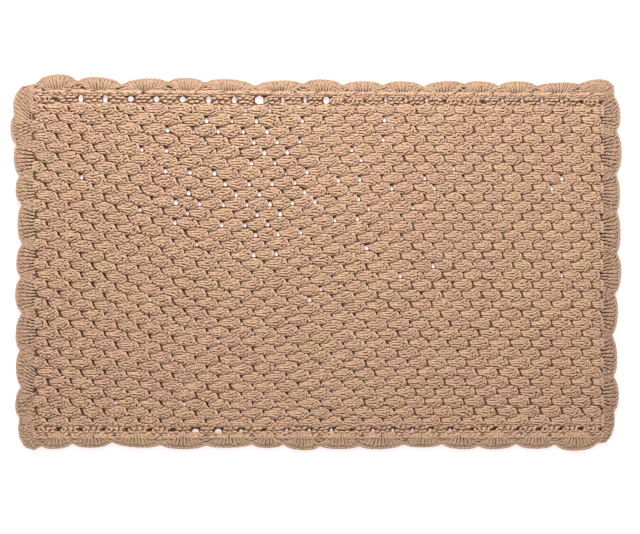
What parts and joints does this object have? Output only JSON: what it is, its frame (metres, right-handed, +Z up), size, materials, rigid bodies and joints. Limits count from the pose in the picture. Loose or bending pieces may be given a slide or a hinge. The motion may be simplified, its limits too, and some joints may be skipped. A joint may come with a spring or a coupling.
{
  "type": "crocheted rug",
  "caption": "Rectangular crocheted cotton rug: a thick field of stitch clusters between small gaps, with a scalloped shell edging all round. Lies flat on a floor.",
  "frame": {"origin": "middle of the underside, on the floor", "axes": "+X along the rug's length, +Y across its width, +Z up out of its worked face"},
  "size_m": [0.8639, 0.532, 0.0085],
  "materials": {
    "field_yarn": "matt plied cotton yarn, sand",
    "edging_yarn": "matt plied cotton yarn, sand"
  },
  "bodies": {
    "root": {"granny_field": "field_yarn", "shell_edging": "edging_yarn"}
  },
  "joints": []
}
